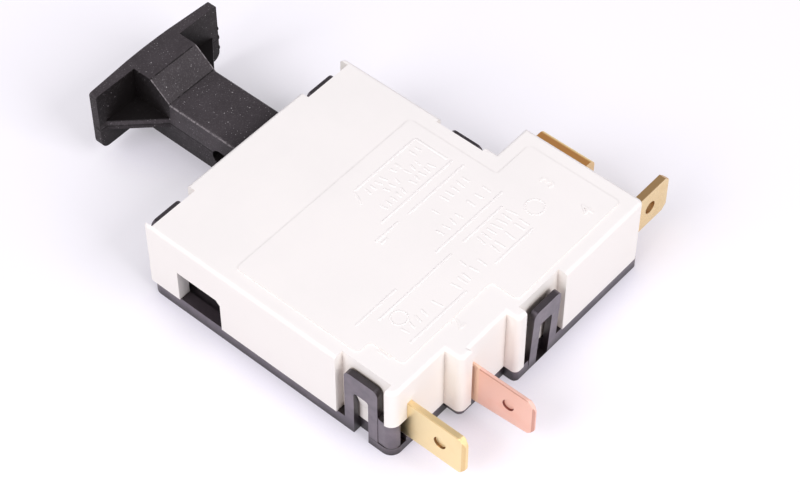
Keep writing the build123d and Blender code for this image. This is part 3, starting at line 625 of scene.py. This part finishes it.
def bladeRings(look, low, high):
    # flat blade in x and z: rings run from the dimple's floor out over the face, round the edge and in over
    # the back. depth is behind the front face, and z is carried to low(x) + share (high(x) - low(x))
    tip, root = high[0] + look["tip"], look["wall"] - look["slotReach"]
    tall, thick = look["tall"], look["thick"]
    lower, upper = look["chamfer"]
    corners = np.array([(root, 0.0), (tip - lower, 0.0), (tip, lower),
                        (tip, tall - upper), (tip - upper, tall), (root, tall)])
    edge = outlineRing(corners, look["points"])
    inner = np.stack([np.minimum(edge[:, 0], tip - look["tipBevel"]),
                      np.clip(edge[:, 1], look["edgeBevel"], tall - look["edgeBevel"])], -1)
    back, radius, deep = look["dimple"]
    middle = np.array([tip - back, tall / 2])
    angle = np.arctan2(*(inner - middle).T[::-1])
    circle = np.stack([np.cos(angle), np.sin(angle)], -1)
    hold = inner + (middle - inner) * look["hold"]
    nose = np.clip((edge[:, 0] - tip + look["tipBevel"]) / look["tipBevel"], 0, 1)
    drop = look["drop"] + (look["tipDrop"] - look["drop"]) * nose
    eye = middle + look["eye"] * circle
    stack = [(eye, deep)]
    stack += [(middle + wide * radius * circle, deep * down) for wide, down in look["dimpleSteps"]]
    stack += [(hold, 0.0), (inner, 0.0)]
    stack += [(edge * out + inner * (1 - out), drop * down) for out, down in look["frontBevel"]]
    stack += [(edge * out + inner * (1 - out), thick - drop * down) for out, down in look["backBevel"]]
    stack += [(inner, thick), (hold, thick), (eye, thick)]
    rings = []
    for flat, depth in stack:
        share = (flat[:, 0] - look["wall"]) / (tip - look["wall"])
        bottom = low[2] + look["low"][0] + (look["low"][1] - look["low"][0]) * share
        top = high[2] - look["high"][0] - (look["high"][1] - look["high"][0]) * share
        z = bottom + flat[:, 1] / tall * (top - bottom)
        rings.append(np.stack([flat[:, 0], low[1] + look["front"] + depth + np.zeros_like(z), z], -1))
    return np.stack(rings)


def shankRings(look, low, high, stations):
    # a rounded strip section carried from the slot back, round a quarter turn and along the contact plate
    thick, radius = look["thick"], look["shankBend"]
    middle = low[1] + look["front"] + thick / 2
    plate = low[0] + thick / 2
    starts, ends = look["wall"] - np.array(look["shankStarts"]), high[1] - np.array(look["shankEnds"])
    turn = np.linspace(0, np.pi / 2, stations - len(starts) - len(ends))
    x = np.concatenate([starts, plate + radius - radius * np.sin(turn), np.full_like(ends, plate)])
    y = np.concatenate([np.full_like(starts, middle), middle + radius - radius * np.cos(turn), ends])
    ahead = np.stack([np.gradient(x), np.gradient(y)], -1)
    ahead /= np.linalg.norm(ahead, axis=1, keepdims=True)
    left = np.stack([-ahead[:, 1], ahead[:, 0]], -1)
    angle = np.linspace(0, 2 * np.pi, look["points"], endpoint=False)
    across = -thick / 2 * squared(np.cos(angle), look["shankRound"])
    rise = squared(np.sin(angle), look["shankRound"])
    flat = np.stack([x, y], -1)[:, None] + left[:, None] * across[None, :, None]
    widen = np.clip(np.arange(stations) / look["shankWiden"], 0, 1)[:, None]
    bottom = low[2] + look["low"][0] * (1 - widen)
    top = high[2] - look["high"][0] * (1 - widen)
    z = (bottom + top) / 2 + rise * (top - bottom) / 2
    return np.concatenate([flat, z[..., None]], -1)


def makeBlade(name, look):  # blade and shank, as two strands of one piece
    low, high = boxOf(look["node"])
    blade = bladeRings(look, low, high)
    shank = shankRings(look, low, high, len(blade))
    made = loft(name, np.stack([blade, shank]), metals[look["metal"]], smooth=False)
    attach(made, "housing")
    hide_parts(look["node"])


tongueLook = {
    "inside": 0.95,  # how far it runs in behind the wall
    "proud": 0.012,
    "ease": (0.05, 0.02),  # length of the narrower end inside, and of the rounding outside
    "sizes": (0.94, 1.0, 1.0, 0.985),  # of the section at the four stations
    "bottom": 1.66,  # height of its lower side
    "rise": 0.14,  # of its upper side above the solid blade
    "behind": 0.4,  # middle of the tongue behind the solid blade's front
    "halfWidth": 0.54,
    "round": 0.12,
    "points": 48,
}


def makeTongue(name, blade, look):
    # a rounded cover tongue that closes the slot round the blade: a superellipse in y and z carried along x
    low, high = boxOf(blade["node"])
    inside, outside = blade["wall"] - look["inside"], blade["wall"] + look["proud"]
    x = np.array([inside, inside + look["ease"][0], outside - look["ease"][1], outside])
    size = np.array(look["sizes"])[:, None]
    angle = np.linspace(0, 2 * np.pi, look["points"], endpoint=False)[None]
    bottom, top = look["bottom"], high[2] + look["rise"]
    y = low[1] + look["behind"] + look["halfWidth"] * size * squared(np.cos(angle), look["round"])
    z = (bottom + top) / 2 + (top - bottom) / 2 * size * squared(np.sin(angle), look["round"])
    rings = np.stack([np.broadcast_to(x[:, None], y.shape), y, z], -1)
    tongue = loft(name, rings[None], coverPaint)
    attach(tongue, "housing")


for bladeName, bladeSize in bladeLook.items():
    makeBlade(bladeName, bladeSize)
    makeTongue("slot_tongue_" + bladeName[-1], bladeSize, tongueLook)
print("near blades shaped")

flashLook = {
    "bumps": [  # end of the head, z, half height, how far out
        (1, 6.5, 0.35, 0.12), (1, 5.2, 0.5, 0.15), (1, 3.7, 0.4, 0.12), (-1, 5.0, 0.14, 0.08),
    ],
    "inset": 0.62,
    "length": 0.86,
    "stations": 9,
    "points": 24,
}


def makeFlash(name, look):
    # moulding flash on the head's two ends: ellipses in y and z carried along x, of half size at both ends
    low, high = boxOf("push_rod")
    end, z, tall, out = np.array(look["bumps"]).T[:, :, None, None]
    share = np.linspace(0, 1, look["stations"])[None, :, None]
    angle = np.linspace(0, 2 * np.pi, look["points"], endpoint=False)[None, None]
    swell = 0.5 + 0.5 * np.sin(np.pi * share) ** 0.5
    y = end * (high[1] + out * swell * np.cos(angle))
    x = np.broadcast_to(low[0] + look["inset"] + look["length"] * share, y.shape)
    rings = np.stack([x, y, z + tall * swell * np.sin(angle) * end], -1)
    flash = loft(name, rings, rodPaint)
    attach(flash, "plunger")


makeFlash("head_flash", flashLook)
print("flash added")

reliefLook = {
    "height": 0.035,
    "sink": 0.06,
    "taper": [0.35, 0.8, 1.0, 1.0, 0.8, 0.35],  # of the section at the stations along a stroke
    "inset": [0.0, 0.12, 0.4, -0.4, -0.12, 0.0],  # in widths: three from its start and three from its end
    "round": 0.8,
    "points": 10,
    "lineWidth": 0.30,
    "tickWidth": 0.24,
    "lines": [  # x, y to x, y on the cover's top, in millimetres
        (-4.6, -1.2, -4.6, 7.8), (-4.5, -1.3, -2.9, -2.1), (0.05, -2.6, 0.05, 8.1), (1.3, 0.0, 1.3, 8.4),
        (1.2, -4.8, 1.2, -1.4), (1.75, -4.6, 1.75, -3.6), (6.4, -2.0, 6.4, 8.2), (7.55, 0.7, 7.55, 6.7),
        (11.55, 0.7, 11.55, 6.5), (6.45, -13.6, 6.45, -7.8), (7.65, -11.7, 7.65, -1.1),
        (11.6, -11.8, 11.6, -3.6), (-4.6, 7.9, -0.4, 7.9),
    ],
    "rows": [  # x, first y, last y, height of the ticks
        (-3.5, -0.4, 7.0, 0.9), (-2.3, 0.2, 5.6, 0.8), (-1.05, -0.9, 6.2, 0.9), (2.65, 3.8, 7.0, 1.1),
        (3.1, 0.9, 1.9, 0.9), (5.0, 5.0, 7.4, 1.1), (5.15, 0.2, 3.0, 1.0), (8.75, 2.0, 6.7, 1.3),
        (10.4, 2.1, 6.5, 1.3), (9.2, -3.0, -1.3, 0.9), (10.5, -6.6, -2.9, 1.3), (10.5, -2.3, 0.0, 1.2),
        (10.3, -11.0, -8.2, 1.0),
    ],
    "tickStep": 0.62,
    "tickGaps": 0.16,  # share of the ticks that is left out
    "tickLean": 0.12,
    "tickSeed": 5,
    "rings": [(10.0, 8.7, 1.0), (8.9, -10.2, 0.85)],  # x, y, radius
    "ringPieces": 20,
    "numbers": [  # text, x, y, and how far that part of the top lies under the raised panel
        ("1", 10.6, -14.3, 0.1), ("2", 13.4, -7.1, 0.1), ("3", 9.0, 12.0, 0.0), ("4", 14.1, 11.6, 0.0),
    ],
    "numberSize": 2.1,
    "numberBevel": 0.02,
    "numberSteps": 4,  # pieces that each curve of a number is drawn in
}


def ridgeRings(strokes, width, level, look):
    # half-round ridge carried along each stroke: across = w/2 cos a, made a little squarer,
    # up = height sin a above the face and sink sin a below it
    start, end = strokes[:, None, None, :2], strokes[:, None, None, 2:]
    length = np.linalg.norm(end - start, axis=-1, keepdims=True)
    ahead = (end - start) / length
    left = np.stack([-ahead[..., 1], ahead[..., 0]], -1)
    taper = np.array(look["taper"])[None, :, None, None]
    inset = np.array(look["inset"])[None, :, None, None] * width
    station = np.arange(len(look["inset"]))[None, :, None, None]
    along = np.where(station < len(look["inset"]) / 2, inset, length + inset)
    around = np.linspace(0, 2 * np.pi, look["points"], endpoint=False)[None, None, :, None]
    across = width / 2 * taper * squared(np.cos(around), look["round"])
    lift = np.sin(around)
    lift = np.where(lift > 0, look["height"] * taper * lift, look["sink"] * lift)
    flat = start + ahead * along + left * across
    return np.concatenate([flat, level + np.broadcast_to(lift, flat.shape[:-1] + (1,))], -1)


def tickStrokes(look):
    # short strokes across each row: x -+ tall/2, y = an even place -+ a random lean, some left out
    made = []
    dice = np.random.default_rng(look["tickSeed"])
    for x, first, last, tall in look["rows"]:
        count = max(2, int((last - first) / look["tickStep"]))
        places = np.linspace(first, last, count)
        kept = places[dice.random(count) > look["tickGaps"]]
        lean = dice.uniform(-look["tickLean"], look["tickLean"], len(kept))
        made.append(np.stack([np.full(len(kept), x - tall / 2), kept - lean,
                              np.full(len(kept), x + tall / 2), kept + lean], -1))
    return np.concatenate(made)


def ringStrokes(look):
    # a circle as short chords: x = cx + r cos a, y = cy + r sin a
    angle = np.linspace(0, 2 * np.pi, look["ringPieces"] + 1)
    made = []
    for x, y, radius in look["rings"]:
        points = np.stack([x + radius * np.cos(angle), y + radius * np.sin(angle)], -1)
        made.append(np.concatenate([points[:-1], points[1:]], -1))
    return np.concatenate(made)


def numberMesh(text, look):  # an extruded plain number round the origin
    curve = bpy.data.curves.new("number_" + text, "FONT")
    curve.body = text
    curve.size = look["numberSize"] * millimetre
    curve.align_x = curve.align_y = "CENTER"
    curve.extrude = (look["height"] + look["sink"]) / 2 * millimetre
    curve.bevel_depth = look["numberBevel"] * millimetre
    curve.resolution_u = look["numberSteps"]
    holder = bpy.data.objects.new("holder", curve)
    bpy.context.scene.collection.objects.link(holder)
    bpy.context.view_layer.update()
    mesh = bpy.data.meshes.new_from_object(holder)
    bpy.data.objects.remove(holder)
    return mesh


def makeNumber(text, x, y, level, look):  # laid on the cover's top and turned a quarter
    middle = level + (look["height"] - look["sink"]) / 2
    mesh = numberMesh(text, look)
    place = Matrix.Translation(Vector((x, y, middle)) * millimetre)
    mesh.transform(place @ Matrix.Rotation(np.pi / 2, 4, "Z"))
    mesh.materials.clear()
    mesh.materials.append(coverPaint.material)
    number = bpy.data.objects.new("cover_number_" + text, mesh)
    bpy.context.scene.collection.objects.link(number)
    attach(number, "housing")


def makeRelief(look):
    level = boxOf("cover")[1][2]
    strokes = {
        "cover_lines": (np.array(look["lines"]), look["lineWidth"]),
        "cover_ticks": (tickStrokes(look), look["tickWidth"]),
        "cover_rings": (ringStrokes(look), look["tickWidth"]),
    }
    for name, (places, width) in strokes.items():
        ridge = loft(name, ridgeRings(places, width, level, look), coverPaint)
        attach(ridge, "housing")
    for text, x, y, lower in look["numbers"]:
        makeNumber(text, x, y, level - lower, look)


makeRelief(reliefLook)
print("relief on the cover")

stageLook = {
    "floorReach": 3.0,
    "paper": {"Roughness": 0.9, "Specular IOR Level": 0.1},
    "floorColour": srgb(222, 219, 227),
    "shadeColour": srgb(168, 160, 188),
    "shade": (7.0, 0.9, 0.3),
    "shadeShare": 0.55,
    "glow": 0.30,
    "glowColour": (1.0, 0.985, 1.0, 1.0),
    "worldColour": (0.96, 0.95, 1.0, 1.0),
    "worldLevel": 0.42,
}


def makeFloor(look):  # one square under the base that also shines a little for the camera and in reflections
    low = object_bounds()[0][2]
    corners = np.array([[-1, -1], [1, -1], [1, 1], [-1, 1]]) * look["floorReach"]
    mesh = bpy.data.meshes.new("floor")
    mesh.from_pydata([(x, y, low) for x, y in corners], [], [(0, 1, 2, 3)])
    floor = bpy.data.objects.new("floor", mesh)
    bpy.context.scene.collection.objects.link(floor)
    paint = Paint("floorPaper", look["paper"])
    shade = paint.shelter(*look["shade"]) * look["shadeShare"]
    paint.feed("Base Color", paint.blend(shade, look["floorColour"], look["shadeColour"]))
    rays = paint.node("ShaderNodeLightPath", {}, {})
    seen = paint.output(rays, "Is Camera Ray") + paint.output(rays, "Is Glossy Ray")
    glow = paint.node("ShaderNodeEmission", {}, {"Color": look["glowColour"],
                                                 "Strength": seen * look["glow"]})
    both = paint.node("ShaderNodeAddShader", {}, {0: paint.output(paint.shader, "BSDF"),
                                                  1: paint.output(glow, "Emission")})
    paint.plug(paint.out.inputs["Surface"], paint.output(both, "Shader"))
    mesh.materials.append(paint.material)
    floor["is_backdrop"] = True


def makeWorld(look):
    world = bpy.data.worlds.new("studio")
    world.use_nodes = True
    sky = world.node_tree.nodes["Background"]
    sky.inputs["Color"].default_value = look["worldColour"]
    sky.inputs["Strength"].default_value = look["worldLevel"]
    bpy.context.scene.world = world


lamps = {
    "left": {"from": (-0.06, -0.52, 0.40), "size": 0.36, "power": 2.15, "colour": (1.0, 0.99, 0.98)},
    "right": {"from": (0.52, 0.02, 0.40), "size": 0.36, "power": 2.2, "colour": (1.0, 0.99, 0.98)},
    "above": {"from": (0.12, -0.06, 0.60), "size": 0.40, "power": 0.2, "colour": (1.0, 0.99, 0.985)},
}


def makeLamp(name, look):  # a square lamp aimed at the origin
    data = bpy.data.lights.new(name, "AREA")
    data.shape = "SQUARE"
    data.size = look["size"]
    data.energy = look["power"]
    data.color = look["colour"]
    lamp = bpy.data.objects.new(name, data)
    lamp.location = look["from"]
    lamp.rotation_euler = (-Vector(look["from"])).to_track_quat("-Z", "Y").to_euler()
    bpy.context.scene.collection.objects.link(lamp)


viewpoint = {
    "from": (0.094875, -0.11035, 0.18085),
    "ahead": (-0.41419213, 0.48286452, -0.77154828),
    "right": (0.75783098, 0.6524492, 0.0014995),
    "lens": 104.1,
    "sensor": 36.0,
    "nearest": 0.01,
}


def makeCamera(look):
    data = bpy.data.cameras.new("camera")
    data.lens = look["lens"]
    data.sensor_width = look["sensor"]
    data.clip_start = look["nearest"]
    ahead = Vector(look["ahead"]).normalized()
    right = Vector(look["right"]).normalized()
    up = right.cross(ahead)
    turn = Matrix((right, up, -ahead)).transposed()
    camera = bpy.data.objects.new("camera", data)
    camera.matrix_world = Matrix.Translation(look["from"]) @ turn.to_4x4()
    bpy.context.scene.collection.objects.link(camera)
    bpy.context.scene.camera = camera


makeFloor(stageLook)
makeWorld(stageLook)
for lampName, lampLook in lamps.items():
    makeLamp(lampName, lampLook)
makeCamera(viewpoint)
bpy.context.scene.view_settings.view_transform = "Standard"
print("stage, lamps and camera")
